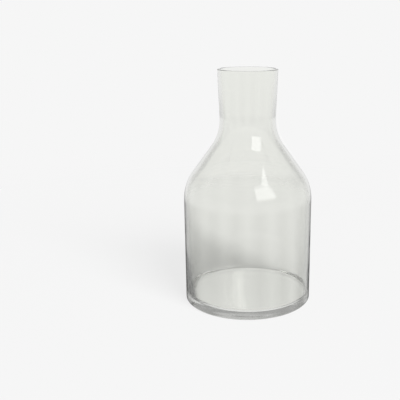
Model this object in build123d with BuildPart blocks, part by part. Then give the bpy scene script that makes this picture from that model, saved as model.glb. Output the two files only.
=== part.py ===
from build123d import *
from math import atan2, cos, sin, tan
import os

# Bottle vase in clear glass: a thin shell, which is wall, shoulder and neck in one run, on a thick flat disc.
# Millimetres, +Z up. The origin is on the axis, in the plane that the vase stands on.

# Outside of the vase
body_diameter = 132.0
wall_height = 123.0  # table to the corner that the shoulder's curve rounds off
shoulder_rise = 53.0  # that corner to the corner at the root of the neck
neck_height = 64.0  # the root corner to the rim
neck_root_diameter = 55.6
rim_diameter = 60.4
shoulder_curve = 47.6  # radius, outside
neck_curve = 45.8  # radius, outside

# Thickness of the shell, which thins as the glass swells out from the neck and thickens again at the foot
rim_thickness = 3.0
neck_thickness = 3.6
shoulder_thickness = 3.0
wall_thickness = 2.2
foot_thickness = 3.8  # of the wall, just above the bead
foot_rise = 55.0  # table to the height below which the wall thickens
foot_curve_share = 0.8  # of the thickening that is curved; the rest runs straight into the bead
rim_rounding = 0.5
largest_rounding_share = 0.45  # of the rim's thickness

# Bead of melted glass inside the foot of the wall, where it stands on the disc
bead_reach = 3.0  # from the wall's inner face, over the disc
bead_height = 1.3  # disc to the corner that the bead's curve rounds off
bead_curve = 5.0  # radius

# Base disc
base_thickness = 7.0
base_edge_rounding = 1.2
foot_ring_width = 9.0  # flat ring that touches the table
hollow_rise = 0.6  # how far the underside lifts off the table at its middle

# Outer corners
body_radius = body_diameter / 2
neck_root_radius = neck_root_diameter / 2
rim_radius = rim_diameter / 2
neck_root_height = wall_height + shoulder_rise
rim_height = neck_root_height + neck_height
shoulder_slope = atan2(body_radius - neck_root_radius, shoulder_rise)  # from the vertical


def inner_corner_height(outer_height, upright_thickness):
    """Height at which the shoulder's inner face meets an upright inner face of the given thickness."""
    across = upright_thickness * cos(shoulder_slope) - shoulder_thickness
    return outer_height + across / sin(shoulder_slope)


# Inner corners, each as far inside its outer one as the glass is thick there
wall_bore_radius = body_radius - wall_thickness
foot_bore_radius = body_radius - foot_thickness
neck_bore_radius = neck_root_radius - neck_thickness
rim_bore_radius = rim_radius - rim_thickness
wall_bore_top = inner_corner_height(wall_height, wall_thickness)
neck_bore_root = inner_corner_height(neck_root_height, neck_thickness)
bead_corner = base_thickness + bead_height
foot_run = (foot_rise - bead_corner) / 2
foot_slope = atan2(foot_thickness - wall_thickness, foot_run)  # from the vertical
foot_curve = foot_run * foot_curve_share / tan(foot_slope / 2)
rim_round = min(rim_rounding, rim_thickness * largest_rounding_share)

# Glass body: one turned shell, open at the rim and at the foot
with BuildPart() as glass_body:
    with BuildSketch(Plane.XZ):
        with BuildLine():
            shell = FilletPolyline(
                (body_radius, base_thickness),
                (body_radius, wall_height),
                (neck_root_radius, neck_root_height),
                (rim_radius, rim_height),
                (rim_bore_radius, rim_height),
                (neck_bore_radius, neck_bore_root),
                (wall_bore_radius, wall_bore_top),
                (wall_bore_radius, bead_corner + foot_run),
                (foot_bore_radius, bead_corner),
                (foot_bore_radius - bead_reach, base_thickness),
                radius=(
                    shoulder_curve,
                    neck_curve,
                    rim_round,
                    rim_round,
                    neck_curve + neck_thickness,
                    shoulder_curve - shoulder_thickness,
                    foot_curve,
                    bead_curve,
                ),
            )
            Line(shell @ 1, shell @ 0)
        make_face()
    revolve(axis=Axis.Z)
glass_body.part.label = "glass_body"

# Base disc: flat on top, with a rounded lower edge and a slightly hollow underside
foot_ring_inside = body_radius - base_edge_rounding - foot_ring_width
with BuildPart() as base_disc:
    with BuildSketch(Plane.XZ):
        with BuildLine():
            rim_of_disc = FilletPolyline(
                (foot_ring_inside, 0),
                (body_radius, 0),
                (body_radius, base_thickness),
                (0, base_thickness),
                (0, hollow_rise),
                radius=(base_edge_rounding, 0, 0),
            )
            TangentArc(rim_of_disc @ 1, rim_of_disc @ 0, tangent=(1, 0))
        make_face()
    revolve(axis=Axis.Z)
base_disc.part.label = "base_disc"

os.makedirs("parts", exist_ok=True)
export_step(glass_body.part, "parts/glass_body.step")
export_step(base_disc.part, "parts/base_disc.step")
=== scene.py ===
import math
from functools import partial, reduce

import bpy
from mathutils import Matrix, Vector


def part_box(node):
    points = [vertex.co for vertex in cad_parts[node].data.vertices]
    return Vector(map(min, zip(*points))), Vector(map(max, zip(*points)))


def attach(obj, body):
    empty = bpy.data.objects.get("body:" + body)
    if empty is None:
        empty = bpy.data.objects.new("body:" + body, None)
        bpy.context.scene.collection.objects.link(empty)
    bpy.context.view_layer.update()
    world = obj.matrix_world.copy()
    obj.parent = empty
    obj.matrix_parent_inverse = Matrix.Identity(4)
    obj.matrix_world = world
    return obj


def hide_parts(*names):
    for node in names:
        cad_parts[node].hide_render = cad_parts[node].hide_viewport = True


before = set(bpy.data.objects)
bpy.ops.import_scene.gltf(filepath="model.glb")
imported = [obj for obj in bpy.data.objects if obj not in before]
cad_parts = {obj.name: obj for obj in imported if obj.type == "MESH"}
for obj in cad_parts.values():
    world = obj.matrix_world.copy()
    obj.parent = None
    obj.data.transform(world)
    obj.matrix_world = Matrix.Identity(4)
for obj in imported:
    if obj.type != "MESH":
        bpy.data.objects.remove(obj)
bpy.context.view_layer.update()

# Metres, +Z up, the same frame as the solids. The vase stands on Z = 0 with its axis on Z.
# The photo's camera looks along +Y, with +X to its right.
body_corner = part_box("glass_body")[1]
base_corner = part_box("base_disc")[1]

# Outside of the vase
BODY_RADIUS = body_corner[0]
RIM_HEIGHT = body_corner[2]
WALL_HEIGHT = 0.123  # table to the corner that the shoulder's curve rounds off
NECK_ROOT_HEIGHT = 0.176
NECK_ROOT_RADIUS = 0.0278
RIM_RADIUS = 0.0302
SHOULDER_CURVE = 0.0476
NECK_CURVE = 0.0458
BASE_EDGE_ROUNDING = 0.0012
FOOT_RING_WIDTH = 0.009
HOLLOW_RISE = 0.0006  # how far the underside lifts off the table at its middle

# Thickness of the glass
RIM_THICKNESS = 0.0030
NECK_THICKNESS = 0.0036
SHOULDER_THICKNESS = 0.0030
WALL_THICKNESS = 0.0022
BASE_THICKNESS = base_corner[2]
RIM_ROUNDING = 0.0005
FOOT_SWELLING = 0.0016  # how much thicker the wall is at its foot
FOOT_RISE = 0.055  # table to the height below which it thickens
LEAN = 0.0012  # how far the cavity's floor sits to the right, because the blown glass is uneven

# Bead of melted glass inside the foot of the wall
BEAD_REACH = 0.0030
BEAD_HEIGHT = 0.0013
BEAD_CURVE = 0.0050
BEAD_ROUNDING = 0.0005

# Finish of the glass
GLASS_COLOUR = (0.942, 0.947, 0.922, 1.0)
GLASS_IOR = 1.5
WAVES_PER_METRE = 28.0
WAVE_DETAIL = 1.0
WAVE_DEPTH = 0.00008

# Roughness by height, and the share of the foot's haze by the distance to the left of the axis
BEAD_HAZE = ((0.0, 0.0), (0.0072, 0.0), (0.0078, 0.07), (0.0110, 0.07), (0.0140, 0.0), (1.0, 0.0))
FOOT_HAZE = ((0.0, 0.0), (0.0072, 0.0), (0.0078, 0.10), (0.0400, 0.10), (0.0600, 0.0), (1.0, 0.0))
LEFT_HAZE = ((0.0, 0.0), (0.022, 0.0), (0.034, 1.0), (1.0, 1.0))

# Fineness of the turned mesh
SIDES = 256
LONGEST_STEP = 0.003
ARC_TURN = math.radians(3)
FEWEST_ARC_STEPS = 4
HOLLOW_STEPS = 12
ON_AXIS = 0.000001  # a ring of a smaller radius is one point

# Camera, fitted to the outline in the photo, which is 400 pixels wide
PHOTO_WIDTH = 400
AXIS_PIXEL = 247.7
CAMERA_DISTANCE = 0.67277
CAMERA_HEIGHT = 0.29366
CAMERA_PITCH = math.radians(15.636)
FOCAL_PIXELS = 670.39
SENSOR_WIDTH = 36.0

# Even light
PALE = 0.9216  # the photo's background
DOME = 0.883  # what falls on the floor

# Window
WINDOW_AZIMUTH = math.radians(35.5)  # from the front to the right
WINDOW_DISTANCE = 7.0
WINDOW_WIDTH = 4.9
WINDOW_SILL = 2.88  # table to its lower edge
WINDOW_HEIGHT = 6.902  # lower to upper edge
WINDOW_RADIANCE = 2.1
TO_WINDOW = Vector((math.sin(WINDOW_AZIMUTH), -math.cos(WINDOW_AZIMUTH), 0))
ALONG_WINDOW = Vector((math.cos(WINDOW_AZIMUTH), math.sin(WINDOW_AZIMUTH), 0))

# Floor. Its stops are by distance from the axis: how far it has faded, and its colour through the glass,
# with painted light and shade.
# The painted shadow is by distance from the middle of the shadow, and says how much darker that colour is
# there.
FLOOR_DROP = 0.0002  # below the foot
FLOOR_RADIUS = 1.2
FLOOR_SIDES = 64
# Half faded under the vase, which paints light there for the window's light through the glass
FLOOR_FADING = ((0.0, 0.50), (0.060, 0.50), (0.066, 0.0), (0.10, 0.0), (0.80, 1.0))
# Paler under the vase, which is painted light, and darker just outside the foot, which is painted shade
PAINTED_LIGHT_AND_SHADE_THROUGH_GLASS = (
    (0.0, 0.855), (0.060, 0.855), (0.066, 0.78), (0.09, 0.80), (0.14, 0.835), (0.20, 0.875), (1.0, 0.905),
)
# Painted shadow of the vase, on the side away from the window
PAINTED_SHADOW = ((0.0, 0.22), (0.045, 0.22), (0.085, 0.0), (1.0, 0.0))

# Studio that the glass mirrors. Heights are in degrees above the horizon, and sides are in degrees from
# straight behind the vase, plus to the right. Each stop pairs one of them with a level or a share.
STUDIO_HEIGHTS = (
    (-90, 0.82), (-42, 0.82), (-30, 0.46), (-24, 0.52), (-20, 0.64), (-14, 0.68), (-9, 0.82), (4, 0.82),
    (16, 0.60), (90, 0.60),
)
GAIN_HEIGHTS = (  # how much brighter it is to the right
    (-90, 0.0), (-42, 0.0), (-28, 0.45), (-24, 0.45), (-19, 0.12), (-14, 0.08), (-10.5, 0.0), (90, 0.0),
)
DARKEST = 0.02

# Dark flags to either side, for rays mirrored a few times: they draw the dark lines of the wall
EDGE_SIDES = (
    (0, 0.0), (9, 1.0), (24, 1.0), (34, 0.1), (45, 0.0), (67.5, 1.0), (90, 0.0), (112.5, 1.0), (135, 0.0),
    (157.5, 1.0), (180, 0.0),
)
EDGE_HEIGHTS = (
    (-90, 0.0), (-42, 0.0), (-28, 1.0), (-24, 1.0), (-16, 0.70), (-12, 0.60), (-8, 0.0), (90, 0.0),
)
EDGE_DEPTH = 0.50

# Darker ceiling for rays mirrored many times, inside the base: it makes the base's band grey
BAND_HEIGHTS = ((-90, 0.0), (4, 0.0), (16, 1.0), (90, 1.0))
BAND_DEPTH = 0.22

# Black flag at the right for the same rays: it draws the dark wedge at the foot's lower left
WEDGE_SIDES = ((-180, 0.0), (50, 0.0), (62, 1.0), (150, 1.0), (170, 0.0), (180, 0.0))
WEDGE_HEIGHTS = ((-90, 0.0), (-26, 0.0), (-14, 1.0), (90, 1.0))

# Narrow light behind the vase, for rays mirrored once: it is the pale stripe on the base
STRIP_MIDDLE = -0.029  # to the right, per unit of depth
STRIP_ACROSS = ((0.0, 1.0), (0.010, 1.0), (0.016, 0.0), (1.0, 0.0))  # by distance from its middle
STRIP_HEIGHTS = ((-90, 0.0), (14, 0.0), (18, 1.0), (32, 1.0), (36, 0.0), (90, 0.0))
STRIP_LEVEL = 0.7

# Bounces of a ray. Its count is compared with the first three, so they lie between whole numbers.
ANY_BOUNCE = 0.5
ONE_BOUNCE = 1.5
FEW_BOUNCES = 3.5
MOST_BOUNCES = 32  # after which a ray ends


def rounded(corners):
    """Points of an outline of (radius, height, bend) corners, each with its direction of travel."""
    run = []
    for i, (radius, height, bend) in enumerate(corners):
        here = Vector((radius, height))
        if not bend:
            start, end = corners[max(i - 1, 0)], corners[max(i, 1)]
            run.append((here, (Vector(end[:2]) - Vector(start[:2])).normalized()))
            continue
        back = (Vector(corners[i - 1][:2]) - here).normalized()
        ahead = (Vector(corners[i + 1][:2]) - here).normalized()
        half = back.angle(ahead) / 2
        centre = here + (back + ahead).normalized() * bend / math.sin(half)
        spoke = here + back * bend / math.tan(half) - centre
        sweep = -(-back).angle_signed(ahead)
        steps = max(FEWEST_ARC_STEPS, math.ceil(abs(sweep) / ARC_TURN))
        for k in range(steps + 1):
            turn = Matrix.Rotation(sweep * k / steps, 2)
            run.append((centre + turn @ spoke, turn @ -back))
    return run


def spaced(run):
    """The same outline with its long straight runs divided."""
    result = [run[0]]
    for (start, _), (end, onward) in zip(run, run[1:]):
        straight = end - start
        pieces = max(1, math.ceil(straight.length / LONGEST_STEP))
        result += [(start.lerp(end, k / pieces), straight.normalized()) for k in range(1, pieces)]
        result.append((end, onward))
    return result


def inner_corner_height(outer_height, upright_thickness):
    """Height at which the shoulder's inner face meets an upright inner face of the given thickness."""
    slope = math.atan2(BODY_RADIUS - NECK_ROOT_RADIUS, NECK_ROOT_HEIGHT - WALL_HEIGHT)
    across = upright_thickness * math.cos(slope) - SHOULDER_THICKNESS
    return outer_height + across / math.sin(slope)


def hollow_underside(edge):
    """Outline of the underside, from the axis to where the foot ring begins."""
    run = []
    for k in range(HOLLOW_STEPS):
        share = k / HOLLOW_STEPS
        slope = -2 * HOLLOW_RISE * share / edge
        point = Vector((share * edge, HOLLOW_RISE * (1 - share ** 2)))
        run.append((point, Vector((1, slope)).normalized()))
    return run


def glass_outline():
    """Half section of the glass: its outside, from the underside up, and its inside, down to the floor."""
    foot_ring_inside = BODY_RADIUS - BASE_EDGE_ROUNDING - FOOT_RING_WIDTH
    bore_radius = BODY_RADIUS - WALL_THICKNESS
    neck_bore_root = inner_corner_height(NECK_ROOT_HEIGHT, NECK_THICKNESS)
    bore_top = inner_corner_height(WALL_HEIGHT, WALL_THICKNESS)
    rim_middle = (RIM_RADIUS - RIM_THICKNESS / 2, RIM_HEIGHT, 0)
    outside = rounded([
        (foot_ring_inside, 0, 0),
        (BODY_RADIUS, 0, BASE_EDGE_ROUNDING),
        (BODY_RADIUS, WALL_HEIGHT, SHOULDER_CURVE),
        (NECK_ROOT_RADIUS, NECK_ROOT_HEIGHT, NECK_CURVE),
        (RIM_RADIUS, RIM_HEIGHT, RIM_ROUNDING),
        rim_middle,
    ])
    inside = rounded([
        rim_middle,
        (RIM_RADIUS - RIM_THICKNESS, RIM_HEIGHT, RIM_ROUNDING),
        (NECK_ROOT_RADIUS - NECK_THICKNESS, neck_bore_root, NECK_CURVE + NECK_THICKNESS),
        (bore_radius, bore_top, SHOULDER_CURVE - SHOULDER_THICKNESS),
        (bore_radius, BASE_THICKNESS + BEAD_HEIGHT, BEAD_CURVE),
        (bore_radius - BEAD_REACH, BASE_THICKNESS, BEAD_ROUNDING),
        (0, BASE_THICKNESS, 0),
    ])
    return spaced(hollow_underside(foot_ring_inside) + outside), spaced(inside)[1:]


def swollen(point, travel):
    """Radius of a ring inside the glass and how far it sits to the right, each with its change.

    Below FOOT_RISE the wall thickens, and the cavity leans, with the square of the depth.
    """
    span = FOOT_RISE - BASE_THICKNESS
    below = max(0, (FOOT_RISE - point.y) / span)
    share = below ** 2
    change = -2 * below / span * travel.y
    narrowing = FOOT_SWELLING / (BODY_RADIUS - WALL_THICKNESS)
    radius = point.x * (1 - narrowing * share)
    outward = travel.x * (1 - narrowing * share) - point.x * narrowing * change
    return radius, outward, LEAN * share, LEAN * change


def spokes(sides):
    """Level directions of length 1 all round the axis."""
    turns = [2 * math.pi * k / sides for k in range(sides)]
    return [(math.cos(turn), math.sin(turn)) for turn in turns]


def placed(name, data):
    """A new object in the scene."""
    thing = bpy.data.objects.new(name, data)
    bpy.context.collection.objects.link(thing)
    return thing


def turned_piece(name, outside, inside):
    """A closed piece: the outline, from axis to axis, turned round Z and shaded by its own slope."""
    rows = [(point, travel, point.x, travel.x, 0, 0) for point, travel in outside]
    rows += [(point, travel, *swollen(point, travel)) for point, travel in inside]
    verts, normals, rings, faces = [], [], [], []
    for point, travel, radius, outward, middle, drift in rows:
        if radius < ON_AXIS:
            rings.append([len(verts)] * SIDES)
            verts.append((middle, 0, point.y))
            normals.append((0, 0, -travel.x))
            continue
        rings.append(range(len(verts), len(verts) + SIDES))
        for across, along in spokes(SIDES):
            verts.append((radius * across + middle, radius * along, point.y))
            normal = Vector((travel.y * across, travel.y * along, -outward - drift * across))
            normals.append(normal.normalized())
    for low, high in zip(rings, rings[1:]):
        for k in range(SIDES):
            after = (k + 1) % SIDES
            corners = (low[k], low[after], high[after], high[k])
            faces.append(tuple(dict.fromkeys(corners)))  # a triangle where a ring is one point
    mesh = bpy.data.meshes.new(name)
    mesh.from_pydata(verts, [], faces)
    mesh.validate()
    mesh.shade_smooth()
    mesh.normals_split_custom_set_from_vertices(normals)
    return placed(name, mesh)


def feed(tree, node, inputs):
    """Links each named input of a node to another node's output, or sets it to a plain value."""
    for key, value in inputs.items():
        if isinstance(value, bpy.types.NodeSocket):
            tree.links.new(value, node.inputs[key])
        else:
            node.inputs[key].default_value = value


def add_node(tree, kind, inputs=None, operation=None):
    """A new node with its inputs linked or set."""
    node = tree.nodes.new("ShaderNode" + kind)
    if operation:
        node.operation = operation
    feed(tree, node, inputs or {})
    return node


def math_node(tree, operation, *values):
    """A number worked out from other numbers."""
    return add_node(tree, "Math", dict(enumerate(values)), operation).outputs[0]


def product(tree, *factors):
    """All the factors multiplied."""
    return reduce(partial(math_node, tree, "MULTIPLY"), factors)


def measure(tree, operation, *vectors):
    """A number worked out from one or two vectors."""
    return add_node(tree, "VectorMath", dict(enumerate(vectors)), operation).outputs["Value"]


def mixed(tree, share, first, second):
    """The first number where the share is 0, and the second where it is 1."""
    return add_node(tree, "Mix", {"Factor": share, "A": first, "B": second}).outputs["Result"]


def ramp_node(tree, value, stops):
    """A level that follows a value from 0 to 1 through (value, level) stops."""
    node = add_node(tree, "ValToRGB", {"Fac": value})
    elements = node.color_ramp.elements
    elements[0].position = stops[0][0]
    elements[-1].position = stops[-1][0]
    for place, _ in stops[1:-1]:
        elements.new(place)
    for element, (_, level) in zip(elements, stops):
        element.color = (level, level, level, 1)
    return node.outputs["Color"]


def by_elevation(stops):
    """Stops by degrees above the horizon as stops by height on a unit sphere, between 0 and 1."""
    return [(0.5 + 0.5 * math.sin(math.radians(degrees)), level) for degrees, level in stops]


def by_azimuth(stops):
    """Stops by degrees to the right of straight behind as stops between 0 and 1."""
    return [(0.5 + degrees / 360, level) for degrees, level in stops]


def mirrored_rays(tree, path):
    """1 for rays that the glass has mirrored on their way from the camera."""
    bounced = math_node(tree, "GREATER_THAN", path.outputs["Glossy Depth"], ANY_BOUNCE)
    undiffused = math_node(tree, "LESS_THAN", path.outputs["Diffuse Depth"], ANY_BOUNCE)
    return product(tree, bounced, undiffused)


def glass_material():
    """Clear glass, a little wavy all over, and hazy in the bead and at the left side of the foot."""
    material = bpy.data.materials.new("clear_glass")
    material.use_nodes = True
    tree = material.node_tree
    ramp = partial(ramp_node, tree)
    place = add_node(tree, "TexCoord").outputs["Object"]
    right, _, up = add_node(tree, "SeparateXYZ", {0: place}).outputs
    left = math_node(tree, "MULTIPLY", right, -1.0)
    foot_haze = product(tree, ramp(up, FOOT_HAZE), ramp(left, LEFT_HAZE))
    waves = add_node(
        tree, "TexNoise", {"Vector": place, "Scale": WAVES_PER_METRE, "Detail": WAVE_DETAIL})
    bump = add_node(tree, "Bump", {"Height": waves.outputs["Fac"], "Distance": WAVE_DEPTH})
    feed(tree, tree.nodes["Principled BSDF"], {
        "Base Color": GLASS_COLOUR,
        "IOR": GLASS_IOR,
        "Transmission Weight": 1.0,
        "Roughness": math_node(tree, "MAXIMUM", foot_haze, ramp(up, BEAD_HAZE)),
        "Normal": bump.outputs["Normal"],
    })
    return material


def floor_material():
    """Pale, with painted shade, a painted shadow and painted light under the vase for rays through the
    glass, faded far away and under the vase, and gone for mirrored rays.
    """
    material = bpy.data.materials.new("floor")
    material.use_nodes = True
    tree = material.node_tree
    tree.nodes.clear()
    number = partial(math_node, tree)
    ramp = partial(ramp_node, tree)
    path = add_node(tree, "LightPath")
    place = add_node(tree, "NewGeometry").outputs["Position"]
    distance = measure(tree, "LENGTH", place)
    gone = number("MAXIMUM", ramp(distance, FLOOR_FADING), mirrored_rays(tree, path))

    # Painted shadow, outside the foot on the side away from the window, for rays through the glass
    outside = number("GREATER_THAN", distance, BODY_RADIUS)
    behind = number("GREATER_THAN", measure(tree, "DOT_PRODUCT", place, -TO_WINDOW), 0.0)
    beside = number("ABSOLUTE", measure(tree, "DOT_PRODUCT", place, ALONG_WINDOW))
    painted_shadow = product(tree, outside, behind, ramp(beside, PAINTED_SHADOW))
    # Painted shade around the foot and painted light under it, darkened further by the painted shadow
    through = product(tree, ramp(distance, PAINTED_LIGHT_AND_SHADE_THROUGH_GLASS), number("SUBTRACT", 1.0, painted_shadow))
    colour = mixed(tree, path.outputs["Is Transmission Ray"], PALE, through)

    diffuse = add_node(tree, "BsdfDiffuse", {"Color": colour})
    clear = add_node(tree, "BsdfTransparent")
    surface = add_node(tree, "MixShader", {"Fac": gone, 1: diffuse.outputs[0], 2: clear.outputs[0]})
    add_node(tree, "OutputMaterial", {"Surface": surface.outputs[0]})
    return material


def build_floor():
    """A pale round floor, just below the foot."""
    mesh = bpy.data.meshes.new("floor")
    ring = [
        (FLOOR_RADIUS * across, FLOOR_RADIUS * along, -FLOOR_DROP)
        for across, along in spokes(FLOOR_SIDES)
    ]
    mesh.from_pydata(ring, [], [range(FLOOR_SIDES)])
    mesh.materials.append(floor_material())
    floor = placed("floor", mesh)


def studio_level(tree, path):
    """What mirrored rays see: a dim studio with dark flags and one narrow light."""
    number = partial(math_node, tree)
    ramp = partial(ramp_node, tree)
    times = partial(product, tree)
    direction = add_node(tree, "TexCoord").outputs["Generated"]
    right, back, up = add_node(tree, "SeparateXYZ", {0: direction}).outputs
    height = number("MULTIPLY_ADD", up, 0.5, 0.5)
    turn = number("DIVIDE", number("ARCTAN2", right, back), 2 * math.pi)
    to_the_right = number("ADD", turn, 0.5)
    to_either_side = number("ADD", number("ABSOLUTE", turn), 0.5)
    once = number("LESS_THAN", path.outputs["Glossy Depth"], ONE_BOUNCE)
    few = number("LESS_THAN", path.outputs["Glossy Depth"], FEW_BOUNCES)
    many = number("SUBTRACT", 1.0, few)

    def at_height(stops):
        return ramp(height, by_elevation(stops))

    edge_side = ramp(to_either_side, by_azimuth(EDGE_SIDES))
    edge_flag = times(few, edge_side, at_height(EDGE_HEIGHTS), EDGE_DEPTH)
    band_flag = times(many, at_height(BAND_HEIGHTS), BAND_DEPTH)
    wedge_flag = times(many, ramp(to_the_right, by_azimuth(WEDGE_SIDES)), at_height(WEDGE_HEIGHTS))
    flags = number("ADD", number("ADD", edge_flag, band_flag), wedge_flag)
    dimmed = number("MAXIMUM", number("SUBTRACT", at_height(STUDIO_HEIGHTS), flags), DARKEST)
    gain = number("MULTIPLY_ADD", right, at_height(GAIN_HEIGHTS), 1.0)

    behind = number("GREATER_THAN", back, 0.0)
    off_strip = number("ABSOLUTE", number("SUBTRACT", number("DIVIDE", right, back), STRIP_MIDDLE))
    on_strip = times(ramp(off_strip, STRIP_ACROSS), at_height(STRIP_HEIGHTS))
    strip = times(once, behind, on_strip, STRIP_LEVEL)
    return number("ADD", times(dimmed, gain), strip)


def build_world():
    """Even light from all round, pale where it is looked at, and the studio that the glass mirrors."""
    world = bpy.data.worlds.new("studio")
    bpy.context.scene.world = world
    world.use_nodes = True
    world.cycles.sampling_method = "NONE"
    tree = world.node_tree
    tree.nodes.clear()
    path = add_node(tree, "LightPath")
    seen = math_node(
        tree, "MAXIMUM", path.outputs["Is Camera Ray"], path.outputs["Is Transmission Ray"])
    plain = mixed(tree, seen, DOME, PALE)
    shown = mixed(tree, mirrored_rays(tree, path), plain, studio_level(tree, path))
    background = add_node(tree, "Background", {"Color": shown})
    add_node(tree, "OutputWorld", {"Surface": background.outputs[0]})


def build_window():
    """A tall soft window to the front right, placed by its reflection on the shoulder."""
    lamp = bpy.data.lights.new("window", "AREA")
    lamp.shape = "RECTANGLE"
    lamp.size = WINDOW_WIDTH
    lamp.size_y = WINDOW_HEIGHT
    lamp.energy = WINDOW_RADIANCE * math.pi * WINDOW_WIDTH * WINDOW_HEIGHT
    window = placed("window", lamp)
    window.location = TO_WINDOW * WINDOW_DISTANCE + Vector((0, 0, WINDOW_SILL + WINDOW_HEIGHT / 2))
    window.rotation_euler = (-TO_WINDOW).to_track_quat("-Z", "Y").to_euler()


def build_camera():
    """The photo's camera, shifted sideways as far as the vase stands off the photo's middle."""
    camera = bpy.data.cameras.new("camera")
    camera.sensor_width = SENSOR_WIDTH
    camera.lens = FOCAL_PIXELS / PHOTO_WIDTH * SENSOR_WIDTH
    camera.shift_x = 0.5 - AXIS_PIXEL / PHOTO_WIDTH
    holder = placed("camera", camera)
    holder.location = (0, -CAMERA_DISTANCE, CAMERA_HEIGHT)
    holder.rotation_euler = (math.pi / 2 - CAMERA_PITCH, 0, 0)
    bpy.context.scene.camera = holder


vase = turned_piece("vase_glass", *glass_outline())
vase.data.materials.append(glass_material())
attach(vase, "root")
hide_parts("glass_body", "base_disc")
# The even light reaches the floor as if the glass weren't there, so only the window casts a shadow
vase.visible_diffuse = False

build_floor()
build_world()
build_window()
build_camera()
bpy.context.scene.view_settings.view_transform = "Standard"
bpy.context.scene.cycles.max_bounces = MOST_BOUNCES
bpy.context.scene.cycles.transmission_bounces = MOST_BOUNCES
bpy.context.scene.cycles.glossy_bounces = MOST_BOUNCES
